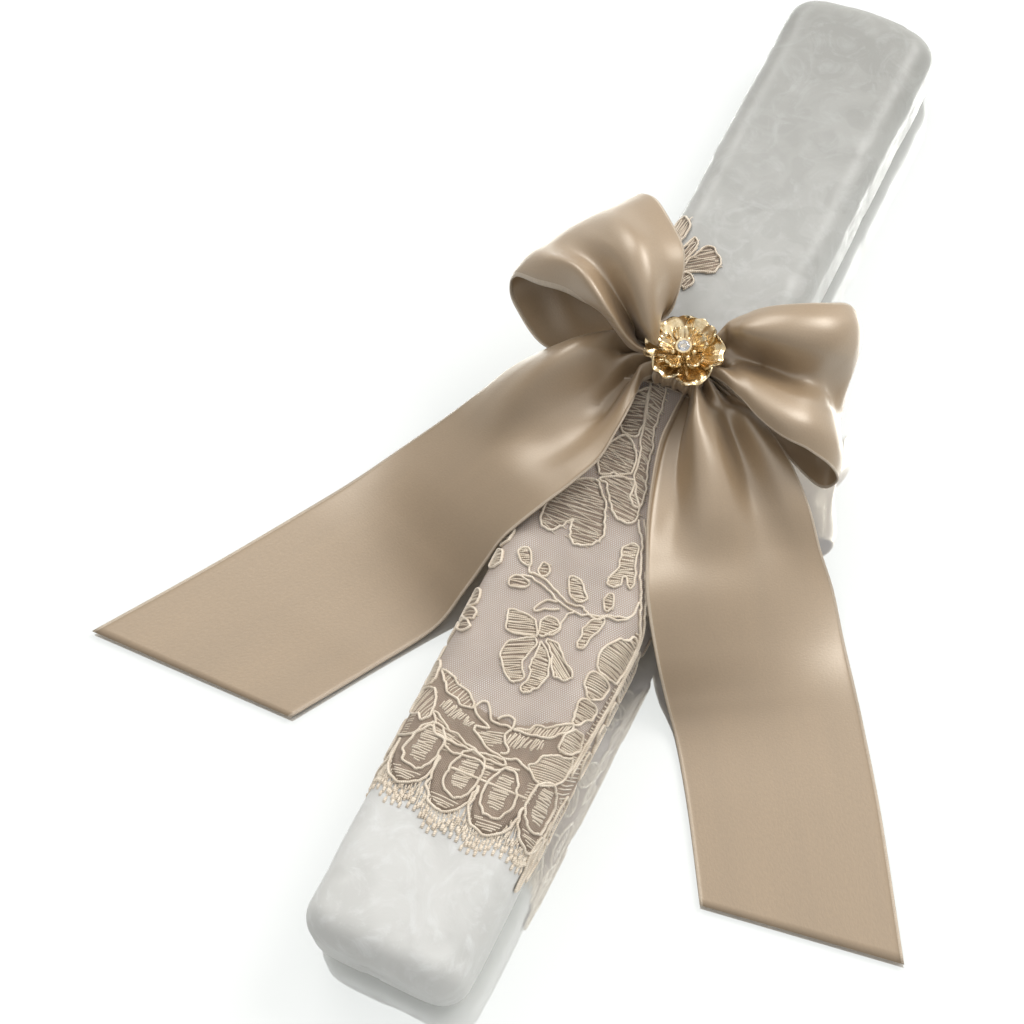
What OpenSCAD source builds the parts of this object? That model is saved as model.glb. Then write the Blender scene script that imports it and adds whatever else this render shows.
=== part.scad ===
// Decorated ceremonial candle, lying on its back.
// Flat pillar candle with rounded edges, wrapped in a piece of corded lace,
// tied round the middle with a satin ribbon bow that carries a metal flower.
// +Y runs from the base end to the wick end, +Z comes out of the decorated face,
// the origin is the centre of the base end.

/* [Candle] */
// Width of the wax slab
candle_w = 45; // [40:1:60]
// Thickness of the wax slab
candle_t = 25.5; // [22:0.5:32]
// Length of the wax slab to the crown of its wick end
candle_l = 316; // [290:1:360]
// Radius of the rounded long edges and corners
edge_r = 8; // [6:0.5:10]
// How far the wick end is crowned
crown_h = 2; // [0.5:0.5:4]
// Diameter of the braided wick
wick_d = 2.2; // [1.6:0.2:3]
// Length of wick outside the wax
wick_out = 2; // [1:1:12]

/* [Lace] */
// Thickness of the tulle net
net_t = 0.4; // [0.3:0.1:0.6]
// Thickness of the cord and stitching on the net
motif_t = 0.5; // [0.3:0.1:0.8]
// Distance from the base end to the scalloped hem
hem_y = 40; // [30:1:60]
// Distance from the base end to the top edge of the net
net_top_y = 196; // [188:1:204]
// Number of scallops across the front
scallops = 4; // [3:1:6]
// Length of the eyelash fringe below the hem
fringe_l = 4; // [2:0.5:6]

/* [Ribbon] */
// Width of the satin ribbon
ribbon_w = 50; // [40:1:52]
// Thickness of the ribbon as laid
ribbon_t = 0.6; // [0.4:0.1:1]
// Width of the gathered band round the candle
band_w = 28; // [20:1:34]
// Distance from the base end to the bow knot
knot_y = 181.5; // [175:0.5:190]
// How far each tail runs from the knot, seen from above
tail_l = 150; // [120:1:160]
// Angle between each tail and the candle
tail_angle = 32; // [26:1:38]
// How far each tail swings out before it runs straight
tail_swing = 11; // [4:1:16]

/* [Flower] */
// Diameter of the metal flower over its outer petals
flower_d = 21.5; // [18:0.5:26]
// Number of petals in each of the two rings
petals = 6; // [5:1:7]
// Diameter of the clear stone
stone_d = 3.4; // [2.6:0.2:4.4]

/* [Hidden] */

half_w = candle_w / 2;
half_t = candle_t / 2;
// Where the wick starts inside the wax, from the base end
wick_foot = 6;
fine = 64;
coarse = 32;

// Outer faces of the layers on the front of the candle
net_z = half_t + net_t;
band_z = net_z + ribbon_t;
// Level of the surface that the candle and the tails lie on
table_z = -band_z;
// Level that the lace motifs wrap down to on the sides
wrap_z = -half_t + edge_r / 2;

// Bow knot: a gathered core with a strip of ribbon wrapped round it
knot_x = 2;
knot_len = 14;
knot_w = 15;
knot_h = 9.6;
wrap_t = 0.8;
wire_d = 1.2;
knot_z = band_z + knot_h / 2;
knot_top = band_z + knot_h;
// Clearance between soft pieces
gap = 0.3;

// Tails: fully spread this far from the knot, over the side this far from the middle
tail_start = knot_len / 2 + 3;
tail_neck_w = 9;
tail_spread = 52;
drop_start = 18;
drop_end = 38;
tail_high = band_z + gap + ribbon_t;
tail_low = table_z + ribbon_t / 2;

// Far corners of the loops: [edge nearest the base, edge nearest the wick]
left_corners = [[-52, 187, 17], [-28, 217, 33]];
right_corners = [[51, 173, 4], [36, 214, 21]];
// How far the upper and the lower layer of a loop belly out
loop_rise = 15;
loop_sag = 3.5;

// Flower
shank_r = 4;
shank_h = 2;
flower_z = knot_top + shank_h;
petal_t = 0.8;
// The inner ring stands on a stem above the outer one, and the stone's cup stands on it
inner_lift = 1.2;
cup_z = flower_z + inner_lift + 2 * petal_t;
bead_r = 0.7;
cup_r = stone_d / 2 + 0.5;
cup_h = 2.2;
cup_floor = 0.6;

function unit(a) = a / norm(a);
function mix(a, b, k) = a + (b - a) * k;
function ease(k) = let (c = min(max(k, 0), 1)) c * c * (3 - 2 * c);

// Closed sheet of thickness t on a grid of points, rows of equal length
module sheet(grid, t) {
  rows = len(grid);
  cols = len(grid[0]);
  function normal_at(i, j) = unit(cross(
    grid[min(i + 1, rows - 1)][j] - grid[max(i - 1, 0)][j],
    grid[i][min(j + 1, cols - 1)] - grid[i][max(j - 1, 0)]));
  upper = [for (i = [0:rows - 1], j = [0:cols - 1]) grid[i][j] + normal_at(i, j) * t / 2];
  lower = [for (i = [0:rows - 1], j = [0:cols - 1]) grid[i][j] - normal_at(i, j) * t / 2];
  count = rows * cols;
  function at(i, j) = i * cols + j;
  faces = [
    for (i = [0:rows - 2], j = [0:cols - 2]) each [
      [at(i, j), at(i, j + 1), at(i + 1, j + 1)],
      [at(i, j), at(i + 1, j + 1), at(i + 1, j)],
      [count + at(i, j), count + at(i + 1, j + 1), count + at(i, j + 1)],
      [count + at(i, j), count + at(i + 1, j), count + at(i + 1, j + 1)]
    ],
    for (i = [0:rows - 2]) each [
      [at(i, 0), at(i + 1, 0), count + at(i + 1, 0)],
      [at(i, 0), count + at(i + 1, 0), count + at(i, 0)],
      [at(i, cols - 1), count + at(i + 1, cols - 1), at(i + 1, cols - 1)],
      [at(i, cols - 1), count + at(i, cols - 1), count + at(i + 1, cols - 1)]
    ],
    for (j = [0:cols - 2]) each [
      [at(0, j), count + at(0, j + 1), at(0, j + 1)],
      [at(0, j), count + at(0, j), count + at(0, j + 1)],
      [at(rows - 1, j), at(rows - 1, j + 1), count + at(rows - 1, j + 1)],
      [at(rows - 1, j), count + at(rows - 1, j + 1), count + at(rows - 1, j)]
    ]
  ];
  polyhedron(concat(upper, lower), faces);
}

// Cross-section of the candle grown by g, in the XZ plane
module section(g) {
  r = edge_r + g;
  square([candle_w - 2 * edge_r, candle_t + 2 * g], center = true);
  square([candle_w + 2 * g, candle_t - 2 * edge_r], center = true);
  for (sx = [-1, 1], sz = [-1, 1])
    translate([sx * (half_w - edge_r), sz * (half_t - edge_r)]) circle(r = r, $fn = fine);
}

// Sleeve round the candle between two distances from the base end
module sleeve(inner, outer, y0, y1) {
  translate([0, y1, 0]) rotate([90, 0, 0])
    linear_extrude(y1 - y0) difference() {
      section(outer);
      section(inner);
    }
}

// A layer wrapped over the front and sides, under an outline drawn in the XY plane
module wrapped(inner, outer, y0, y1) {
  intersection() {
    sleeve(inner, outer, y0, y1);
    translate([0, 0, wrap_z]) linear_extrude(candle_t) children();
  }
}

module on_lace(y0, y1) {
  wrapped(net_t, net_t + motif_t, y0, y1) children();
}

// Flat disc-ended leaf from one point to another, in the XY plane
module leaf(from, to, r) {
  d = to - from;
  translate(to) circle(r = r, $fn = coarse);
  translate(from) rotate(atan2(d[1], d[0]))
    polygon([[0, -r / 5], [norm(d), -r * 0.8], [norm(d), r * 0.8], [0, r / 5]]);
}

// Rounded rectangle of w by l with corner radius r, from y = 0 up, drawn with true arcs
module rounded_outline(w, l, r) {
  translate([-w / 2 + r, 0]) square([w - 2 * r, l]);
  translate([-w / 2, r]) square([w, l - 2 * r]);
  for (sx = [-1, 1], y = [r, l - r])
    translate([sx * (w / 2 - r), y]) circle(r = r, $fn = fine);
}

module wax_body() {
  side_l = candle_l - crown_h;
  chord = half_w - edge_r;
  crown_r = (chord * chord + crown_h * crown_h) / (2 * crown_h);
  color("ivory") difference() {
    intersection() {
      translate([0, candle_l, 0]) rotate([90, 0, 0]) linear_extrude(candle_l) section(0);
      translate([0, 0, -half_t]) linear_extrude(candle_t) {
        rounded_outline(candle_w, side_l, edge_r);
        intersection() {
          translate([0, candle_l - crown_r]) circle(r = crown_r, $fn = fine);
          translate([-chord, side_l - 1]) square([2 * chord, crown_h + 1]);
        }
      }
      translate([-half_w, 0, 0]) rotate([90, 0, 90]) linear_extrude(candle_w)
        rotate(-90) rounded_outline(candle_t, candle_l, edge_r);
    }
    translate([0, candle_l + 1, 0]) rotate([90, 0, 0])
      cylinder(d = wick_d, h = candle_l + 1 - wick_foot, $fn = fine);
  }
}

module wick() {
  color("linen") translate([0, candle_l + wick_out, 0]) rotate([90, 0, 0])
    cylinder(d = wick_d, h = candle_l + wick_out - wick_foot, $fn = fine);
}

module lace_net() {
  color("rosybrown") sleeve(0, net_t, hem_y, net_top_y);
}

module lace_scallop_border() {
  depth = 40;
  arch_r = 20;
  arch_y = 8;
  pitch = candle_w / scallops;
  color("wheat") on_lace(hem_y, hem_y + depth) {
    difference() {
      translate([-half_w - 1, hem_y + pitch / 2])
        square([candle_w + 2, depth - pitch / 2]);
      translate([0, hem_y + depth + arch_y]) circle(r = arch_r, $fn = fine);
    }
    for (i = [0:scallops - 1])
      translate([-half_w + (i + 0.5) * pitch, hem_y + pitch / 2])
        circle(d = pitch, $fn = coarse);
  }
}

module lace_hem_fringe() {
  lash_w = 0.7;
  pitch = 2.2;
  count = floor((candle_w - 2 * edge_r) / pitch);
  color("wheat") for (i = [0:count])
    translate([(i - count / 2) * pitch - lash_w / 2, hem_y - fringe_l, half_t])
      cube([lash_w, fringe_l, net_t]);
}

module lace_blossom_spray() {
  bloom = [1.5, 88];
  petal_l = 7;
  stem = [[1.5, 88], [8, 100], [-1, 113], [-8, 121]];
  color("wheat") translate([0, 0, net_z]) linear_extrude(motif_t) {
    for (k = [0:4])
      leaf(bloom, bloom + petal_l * [cos(72 * k + 60), sin(72 * k + 60)], 2.4);
    for (k = [0:len(stem) - 2]) leaf(stem[k], stem[k + 1], 0.7);
    for (k = [1:3]) leaf(stem[k], stem[k] + [2, 5], 1.5);
    for (k = [1:3]) leaf(stem[k], stem[k] + [-4, 4], 1.5);
  }
}

module lace_side_border() {
  lobes = 7;
  pitch = 11;
  strip_w = 7;
  y0 = hem_y + 42;
  color("wheat") on_lace(y0 - 1, y0 + lobes * pitch) {
    translate([half_w - strip_w, y0]) square([strip_w + 1, lobes * pitch]);
    for (i = [0:lobes - 1])
      translate([half_w - strip_w, y0 + (i + 0.5) * pitch]) circle(d = pitch - 2, $fn = coarse);
  }
}

module lace_fan_leaves() {
  root = [1, 166];
  color("wheat") translate([0, 0, net_z]) linear_extrude(motif_t) {
    leaf(root, [-9, 139], 5);
    leaf(root, [-1, 135], 5);
    leaf(root, [7, 142], 4);
  }
}

module lace_top_leaf() {
  root = [-13, net_top_y + 1];
  color("wheat") wrapped(0, net_t + motif_t, net_top_y, net_top_y + 35) {
    leaf(root, [-18, 224], 2.8);
    leaf(root, [-8, 218], 3.6);
    leaf(root, [-10, 209], 2.2);
  }
}

module ribbon_band() {
  color("tan") sleeve(net_t, net_t + ribbon_t, knot_y - band_w / 2, knot_y + band_w / 2);
}

// Level of the tails at a distance from the middle of the candle
function tail_level(x) = mix(tail_high, tail_low, ease((abs(x) - drop_start) / (drop_end - drop_start)));

// Tail of the bow: side is -1 for the left, 1 for the right. The cut is square to the candle.
module bow_tail(side) {
  rows = 30;
  cols = 10;
  along = [side * sin(tail_angle), -cos(tail_angle)];
  across = [cos(tail_angle), side * sin(tail_angle)];
  grid = [for (i = [0:rows]) [for (j = [0:cols])
    let (
      k = side * (j / cols - 0.5),
      s = mix(tail_start, tail_l + side * k * ribbon_w * tan(tail_angle), i / rows),
      spread = ease((s - tail_start) / tail_spread),
      p = [knot_x + side * tail_swing * spread, knot_y]
        + along * s + across * k * mix(tail_neck_w, ribbon_w, spread)
    ) [p[0], p[1], tail_level(p[0])]
  ]];
  sheet(grid, ribbon_t);
}

module bow_tail_left() { color("tan") bow_tail(-1); }
module bow_tail_right() { color("tan") bow_tail(1); }

// Loop of the bow through its two far corners
module bow_loop(corners) {
  rows = 26;
  cols = 7;
  start = 0.09;
  neck_w = 9;
  side = sign(corners[0][0]);
  root = [knot_x + side * knot_len / 2, knot_y, knot_z + 1];
  grid = [for (i = [0:rows]) [for (j = [0:cols])
    let (
      k = j / cols,
      phi = 360 * mix(start, 1 - start, i / rows),
      reach = (1 - cos(phi)) / 2,
      swell = sin(phi) * pow(reach, 0.7),
      lift = swell > 0 ? loop_rise : loop_sag,
      corner = mix(corners[0], corners[1], k)
    ) root + [0, (k - 0.5) * neck_w, 0] + (corner - root) * reach + [0, 0, lift * swell]
  ]];
  sheet(grid, ribbon_t);
}

module bow_loop_left() { color("tan") bow_loop(left_corners); }
module bow_loop_right() { color("tan") bow_loop(right_corners); }

// Rounded block of the knot, shrunk by s, in the YZ plane and run along X
module knot_block(s, length) {
  r = knot_h / 2 - s;
  spread = (knot_w - knot_h) / 2;
  translate([knot_x - length / 2, knot_y, knot_z]) rotate([90, 0, 90])
    linear_extrude(length) {
      for (sy = [-1, 1]) translate([sy * spread, 0]) circle(r = r, $fn = fine);
      square([2 * spread, 2 * r], center = true);
    }
}

module bow_gather() {
  color("tan") difference() {
    knot_block(wrap_t, knot_len);
    difference() {
      knot_block(wrap_t - 0.1, wire_d);
      knot_block(wrap_t + wire_d, wire_d + 1);
    }
  }
}

module bow_binding_wire() {
  color("silver") difference() {
    knot_block(wrap_t, wire_d);
    knot_block(wrap_t + wire_d, wire_d + 1);
  }
}

module bow_knot_wrap() {
  color("tan") difference() {
    knot_block(0, knot_len - 2);
    knot_block(wrap_t, knot_len);
  }
}

// Rosette of round petals, dished from above, thickness petal_t at the middle
module petal_ring(reach, rim_h, turn) {
  petal_r = reach * sin(180 / petals) * 0.85;
  dish_r = (reach * reach + (rim_h - petal_t) ^ 2) / (2 * (rim_h - petal_t));
  difference() {
    linear_extrude(rim_h) {
      for (k = [0:petals - 1])
        rotate(turn + k * 360 / petals) translate([reach - petal_r, 0])
          circle(r = petal_r, $fn = coarse);
      circle(r = reach * 0.6, $fn = coarse);
    }
    translate([0, 0, petal_t + dish_r]) sphere(r = dish_r, $fn = fine);
  }
}

module at_flower(z) {
  translate([knot_x, knot_y, z]) children();
}

module flower_shank() {
  color("gold") at_flower(knot_top) cylinder(r = shank_r, h = shank_h, $fn = fine);
}

module flower_outer_petals() {
  color("gold") at_flower(flower_z) petal_ring(flower_d / 2, 3, 0);
}

module flower_inner_petals() {
  stem_r = shank_r * 0.3;
  color("gold") at_flower(flower_z + petal_t) difference() {
    union() {
      translate([0, 0, inner_lift]) petal_ring(flower_d * 0.3, 2.4, 180 / petals);
      cylinder(r = stem_r, h = inner_lift + petal_t, $fn = fine);
    }
    translate([0, 0, inner_lift + petal_t])
      cylinder(r = cup_r + 2 * bead_r + gap, h = flower_d, $fn = fine);
  }
}

module flower_bead_ring() {
  count = 8;
  bead_gap = 0.1;
  color("gold") at_flower(cup_z + bead_r)
    for (k = [0:count - 1]) rotate(k * 360 / count) translate([cup_r + bead_r + bead_gap, 0, 0])
      sphere(r = bead_r, $fn = coarse);
}

module stone_cup() {
  color("gold") at_flower(cup_z) difference() {
    cylinder(r = cup_r, h = cup_h, $fn = fine);
    translate([0, 0, cup_floor]) cylinder(d = stone_d, h = cup_h, $fn = fine);
  }
}

module clear_stone() {
  girdle_z = 1.4;
  color("white") at_flower(cup_z + cup_floor) {
    cylinder(d = stone_d, h = girdle_z, $fn = fine);
    translate([0, 0, girdle_z]) cylinder(d1 = stone_d, d2 = stone_d * 0.55, h = 0.8, $fn = 8);
  }
}

wax_body();
wick();
lace_net();
lace_scallop_border();
lace_hem_fringe();
lace_blossom_spray();
lace_side_border();
lace_fan_leaves();
lace_top_leaf();
ribbon_band();
bow_tail_left();
bow_tail_right();
bow_loop_left();
bow_loop_right();
bow_gather();
bow_binding_wire();
bow_knot_wrap();
flower_shank();
flower_outer_petals();
flower_inner_petals();
flower_bead_ring();
stone_cup();
clear_stone();
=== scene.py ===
"""Looks of a decorated ceremonial candle: wax slab, corded lace, satin bow, gilt flower with a clear stone.
Lengths are in millimetres until a mesh is made. The frame is the CAD's: the origin is the middle of the base
end, +Y runs to the wick end and +Z comes out of the decorated face."""

import math

import bpy
import numpy as np
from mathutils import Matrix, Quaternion, Vector


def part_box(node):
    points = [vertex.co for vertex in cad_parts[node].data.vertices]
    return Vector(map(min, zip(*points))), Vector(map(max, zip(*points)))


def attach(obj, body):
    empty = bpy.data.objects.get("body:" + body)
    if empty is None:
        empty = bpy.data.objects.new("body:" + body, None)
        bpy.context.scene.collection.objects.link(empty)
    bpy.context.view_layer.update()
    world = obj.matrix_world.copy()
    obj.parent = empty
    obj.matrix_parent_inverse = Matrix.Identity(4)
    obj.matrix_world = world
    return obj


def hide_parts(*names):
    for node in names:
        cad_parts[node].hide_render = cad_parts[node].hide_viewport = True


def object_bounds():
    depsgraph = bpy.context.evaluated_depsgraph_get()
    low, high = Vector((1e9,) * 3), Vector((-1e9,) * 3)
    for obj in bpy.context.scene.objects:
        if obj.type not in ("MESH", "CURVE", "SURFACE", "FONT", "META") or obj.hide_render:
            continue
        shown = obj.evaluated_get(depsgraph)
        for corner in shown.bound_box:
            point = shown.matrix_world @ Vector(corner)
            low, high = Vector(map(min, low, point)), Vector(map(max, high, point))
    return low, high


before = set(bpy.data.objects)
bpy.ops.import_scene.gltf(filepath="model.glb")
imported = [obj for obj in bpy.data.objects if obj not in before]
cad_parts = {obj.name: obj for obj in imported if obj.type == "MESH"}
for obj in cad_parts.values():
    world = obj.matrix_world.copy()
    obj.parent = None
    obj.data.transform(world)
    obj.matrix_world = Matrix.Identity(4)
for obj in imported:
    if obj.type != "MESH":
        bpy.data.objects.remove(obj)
cad_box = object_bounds()
random = np.random.default_rng(12)
scene = bpy.context.scene

# Sizes, from the frame

MM = 0.001


def node_box(name):
    lo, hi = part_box(name)
    return np.array(lo) / MM, np.array(hi) / MM


HALF_W, CANDLE_L, HALF_T = node_box("wax_body")[1]
EDGE_R = 8.0
CROWN_H = 2.0
FLAT_W = HALF_W - EDGE_R
FLAT_T = HALF_T - EDGE_R
ARC = EDGE_R * math.pi / 2
HALF_ROUND = 2 * FLAT_W + 2 * FLAT_T + 2 * ARC
TABLE_Z = cad_box[0][2] / MM
NET_LO, NET_HI = node_box("lace_net")
NET_T = NET_HI[2] - HALF_T
BAND_LO, BAND_HI = node_box("ribbon_band")
FLOWER_LO, FLOWER_HI = node_box("flower_outer_petals")
KNOT_LO, KNOT_HI = node_box("bow_knot_wrap")
KNOT = (KNOT_LO + KNOT_HI) / 2
RIBBON_W = 50.0

# Small helpers


def ease(k):
    c = np.clip(k, 0, 1)
    return c * c * (3 - 2 * c)


def bump_at(x, centre, width):
    return np.exp(-(((x - centre) / width) ** 2))


def spline(points, count, closed=False):
    """Catmull-Rom curve through points of any shape, at count even steps of the points' index."""
    p = np.asarray(points, float)
    n = len(p)
    t = np.linspace(0, n if closed else n - 1, count, endpoint=not closed)
    i = np.floor(t).astype(int)
    if not closed:
        i = np.minimum(i, n - 2)
    f = (t - i).reshape((-1,) + (1,) * (p.ndim - 1))
    if closed:
        a, b, c, d = (p[(i + k) % n] for k in (-1, 0, 1, 2))
    else:
        ends = np.concatenate([[2 * p[0] - p[1]], p, [2 * p[-1] - p[-2]]])
        a, b, c, d = (ends[i + k] for k in (0, 1, 2, 3))
    return 0.5 * (2 * b + (c - a) * f + (2 * a - 5 * b + 4 * c - d) * f**2 + (3 * b - a - 3 * c + d) * f**3)


def pack(*parts):
    """One array of points or of flat places from its coordinates."""
    return np.stack(np.broadcast_arrays(*parts), -1)


def unit(v):
    return v / np.maximum(np.linalg.norm(v, axis=-1, keepdims=True), 1e-9)


def grid_faces(rows, cols, start=0, round_cols=False, flip=False):
    """Quads of a grid of points, whose columns may close on themselves."""
    i, j = np.meshgrid(np.arange(rows - 1), np.arange(cols if round_cols else cols - 1), indexing="ij")
    k = (j + 1) % cols
    quads = np.stack([i * cols + j, i * cols + k, (i + 1) * cols + k, (i + 1) * cols + j], -1).reshape(-1, 4)
    return start + (quads[:, ::-1] if flip else quads)


def add_object(name, data):
    obj = bpy.data.objects.new(name, data)
    scene.collection.objects.link(obj)
    return obj


def add_looking(name, data, at, target, roll=0.0):
    """A light or camera at a place, in metres, that looks towards a target."""
    obj = add_object(name, data)
    obj.location = at
    obj.rotation_mode = "QUATERNION"
    look = (Vector(target) - Vector(at)).to_track_quat("-Z", "Y")
    obj.rotation_quaternion = look @ Quaternion((0, 0, 1), roll)
    return obj


class Build:
    """Gathers the parts of one mesh."""

    def __init__(self):
        self.points, self.faces, self.uvs, self.kinds = [], [], [], []
        self.count = 0

    def add(self, points, faces, uv, kind=0):
        """faces are arrays with one face a row, and kind is which of the piece's materials they have."""
        for f in faces:
            self.faces.append(f + self.count)
            self.kinds.append(np.full(len(f), kind))
        self.points.append(points.reshape(-1, 3))
        self.uvs.append(uv.reshape(-1, 2))
        self.count += len(self.points[-1])

    def make(self, name, looks, slot, node, smooth=True):
        """The piece that replaces a CAD node."""
        points = np.concatenate(self.points) * MM
        corners = np.concatenate([f.ravel() for f in self.faces])
        sizes = np.concatenate([np.full(len(f), f.shape[1]) for f in self.faces])
        mesh = bpy.data.meshes.new(name)
        mesh.vertices.add(len(points))
        mesh.vertices.foreach_set("co", points.astype(np.float32).ravel())
        mesh.loops.add(len(corners))
        mesh.loops.foreach_set("vertex_index", corners.astype(np.int32))
        mesh.polygons.add(len(sizes))
        mesh.polygons.foreach_set("loop_start", (np.cumsum(sizes) - sizes).astype(np.int32))
        mesh.polygons.foreach_set("material_index", np.concatenate(self.kinds).astype(np.int32))
        mesh.polygons.foreach_set("use_smooth", np.full(len(sizes), smooth))
        layer = mesh.uv_layers.new(name="cloth")
        layer.data.foreach_set("uv", np.concatenate(self.uvs)[corners].astype(np.float32).ravel())
        mesh.update(calc_edges=True)
        mesh.validate()
        for look in looks:
            mesh.materials.append(look)
        obj = add_object(name, mesh)
        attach(obj, "root")
        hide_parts(node)
        return obj


# Materials


class Shade:
    """A node material round one Principled shader, whose sockets start at given values."""

    def __init__(self, name, sockets):
        self.material = bpy.data.materials.new(name)
        self.material.use_nodes = True
        self.tree = self.material.node_tree
        self.shader = self.tree.nodes["Principled BSDF"]
        for key, value in sockets.items():
            self.shader.inputs[key].default_value = value
        self.coords = self.tree.nodes.new("ShaderNodeTexCoord").outputs["Object"]

    def node(self, kind, inputs, **settings):
        made = self.tree.nodes.new("ShaderNode" + kind)
        for key, value in settings.items():
            setattr(made, key, value)
        for key, value in inputs.items():
            if isinstance(value, bpy.types.NodeSocket):
                self.tree.links.new(value, made.inputs[key])
            else:
                made.inputs[key].default_value = value
        return made

    def uv(self, across, along):
        """The cloth's own millimetres, each times a scale."""
        source = self.node("UVMap", {}, uv_map="cloth").outputs[0]
        return self.node("Mapping", {"Vector": source, "Scale": (across, along, 1)}).outputs[0]

    def noise(self, vector, scale, detail=3.0, rough=0.55, warp=0.0):
        inputs = {"Vector": vector, "Scale": scale, "Detail": detail, "Roughness": rough, "Distortion": warp}
        return self.node("TexNoise", inputs).outputs["Fac"]

    def ramp(self, value, *stops):
        """Colours or greys at places from 0 to 1."""
        made = self.node("ValToRGB", {"Fac": value})
        bar = made.color_ramp.elements
        while len(bar) < len(stops):
            bar.new(0.5)
        for element, (at, colour) in zip(bar, stops):
            element.position = at
            element.color = (*colour, 1) if isinstance(colour, tuple) else (colour, colour, colour, 1)
        return made.outputs["Color"]

    def maths(self, operation, a, b=0.0):
        return self.node("Math", {0: a, 1: b}, operation=operation).outputs[0]

    def part(self, vector, axis):
        return self.node("SeparateXYZ", {"Vector": vector}).outputs[axis]

    def mix(self, factor, a, b, how="MIX"):
        a, b = (c if isinstance(c, bpy.types.NodeSocket) else (*c, 1) for c in (a, b))
        return self.node("Mix", {0: factor, 6: a, 7: b}, data_type="RGBA", blend_type=how).outputs[2]

    def bump(self, height, distance, strength, under=None):
        """Normals from a height whose full range is distance millimetres, over another bump if given."""
        inputs = {"Height": height, "Distance": distance * MM, "Strength": strength}
        if under:
            inputs["Normal"] = under
        return self.node("Bump", inputs).outputs[0]

    def link(self, name, socket):
        self.tree.links.new(socket, self.shader.inputs[name])


def scaled(colour, by):
    return tuple(by * c for c in colour)


FROST_DARK = (0.545, 0.543, 0.52)
FROST_LIGHT = (0.60, 0.598, 0.575)
VEIN = (0.67, 0.675, 0.66)
# Painted shade: what the wax's colour is multiplied by at the wick end, to darken that end
WICK_END_SHADE = (0.52, 0.52, 0.507)


def wax_material():
    s = Shade("frosted_wax", {"Roughness": 0.34, "IOR": 1.45, "Subsurface Weight": 0.35,
                              "Subsurface Radius": (0.9, 1.0, 0.95), "Subsurface Scale": 6 * MM})
    push = s.node("TexNoise", {"Vector": s.coords, "Scale": 45.0}).outputs["Color"]
    bent = s.node("VectorMath", {0: s.coords, 1: push, 2: (0.012, 0.012, 0.012)}, operation="MULTIPLY_ADD")
    cells = s.node("TexVoronoi", {"Vector": bent.outputs[0], "Scale": 80.0, "Smoothness": 0.6},
                   feature="SMOOTH_F1").outputs["Color"]
    cloud = s.noise(s.coords, 60.0, 5.0, 0.6, 1.2)
    veins = s.noise(s.coords, 75.0, 6.0, 0.68, 2.6)
    frost = s.mix(0.5, s.ramp(cells, (0.2, 0.0), (0.8, 1.0)), s.ramp(cloud, (0.35, 0.0), (0.7, 1.0)))
    tone = s.mix(s.ramp(frost, (0.25, 0.0), (0.75, 1.0)), FROST_DARK, FROST_LIGHT)
    tone = s.mix(s.ramp(veins, (0.50, 0.0), (0.68, 0.65)), tone, VEIN)
    # Painted shade: the wax's colour is multiplied darker towards the wick end
    along = s.maths("DIVIDE", s.part(s.coords, 1), CANDLE_L * MM)
    s.link("Base Color", s.mix(s.ramp(along, (0.25, 0.0), (0.95, 1.0)), tone, WICK_END_SHADE, "MULTIPLY"))
    s.link("Roughness", s.ramp(veins, (0.35, 0.34), (0.65, 0.50)))
    s.link("Normal", s.bump(veins, 0.1, 0.4, s.bump(cloud, 0.4, 0.25)))
    return s.material


SATIN = (0.265, 0.177, 0.096)
SELVEDGE = (0.55, 0.46, 0.35)
SELVEDGE_W = 0.75


def satin_material():
    """Double-faced satin: floats and grain in the weave, slow slubs, and a paler stitched edge."""
    s = Shade("champagne_satin", {
        "IOR": 1.75, "Specular IOR Level": 1.0, "Specular Tint": (1.0, 0.92, 0.80, 1),
        "Coat Weight": 0.6, "Coat Roughness": 0.40,
        "Sheen Weight": 0.15, "Sheen Roughness": 0.4, "Sheen Tint": (1.0, 0.93, 0.84, 1)})
    floats = s.noise(s.uv(9.0, 0.7), 1.0, 2.0, 0.5)
    slubs = s.noise(s.uv(0.09, 0.02), 1.0, 3.0, 0.6)
    grain = s.noise(s.uv(1.5, 1.9), 1.0, 2.0, 0.6)
    tone = s.mix(s.ramp(slubs, (0.3, 0.0), (0.7, 1.0)), scaled(SATIN, 0.93), scaled(SATIN, 1.05))
    tone = s.mix(s.ramp(floats, (0.3, 0.25), (0.7, 0.0)), tone, scaled(SATIN, 0.7))
    across = s.part(s.uv(1.0, 1.0), 0)
    from_edge = s.maths("MINIMUM", across, s.maths("SUBTRACT", RIBBON_W, across))
    edge = s.maths("LESS_THAN", from_edge, SELVEDGE_W)
    tone = s.mix(s.maths("MULTIPLY", edge, 0.6), tone, SELVEDGE)
    s.link("Base Color", s.mix(s.ramp(grain, (0.35, 0.22), (0.65, 0.0)), tone, scaled(SATIN, 0.6)))
    s.link("Roughness", s.ramp(floats, (0.3, 0.42), (0.7, 0.50)))
    wave = {"Vector": s.uv(0.6, 2.0), "Scale": 1.0, "Distortion": 0.6}
    stitch = s.node("TexWave", wave, bands_direction="Y")
    weave = s.bump(floats, 0.02, 0.5, s.bump(grain, 0.05, 0.8))
    s.link("Normal", s.bump(s.maths("MULTIPLY", edge, stitch.outputs["Fac"]), 0.12, 0.6, weave))
    return s.material


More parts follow.
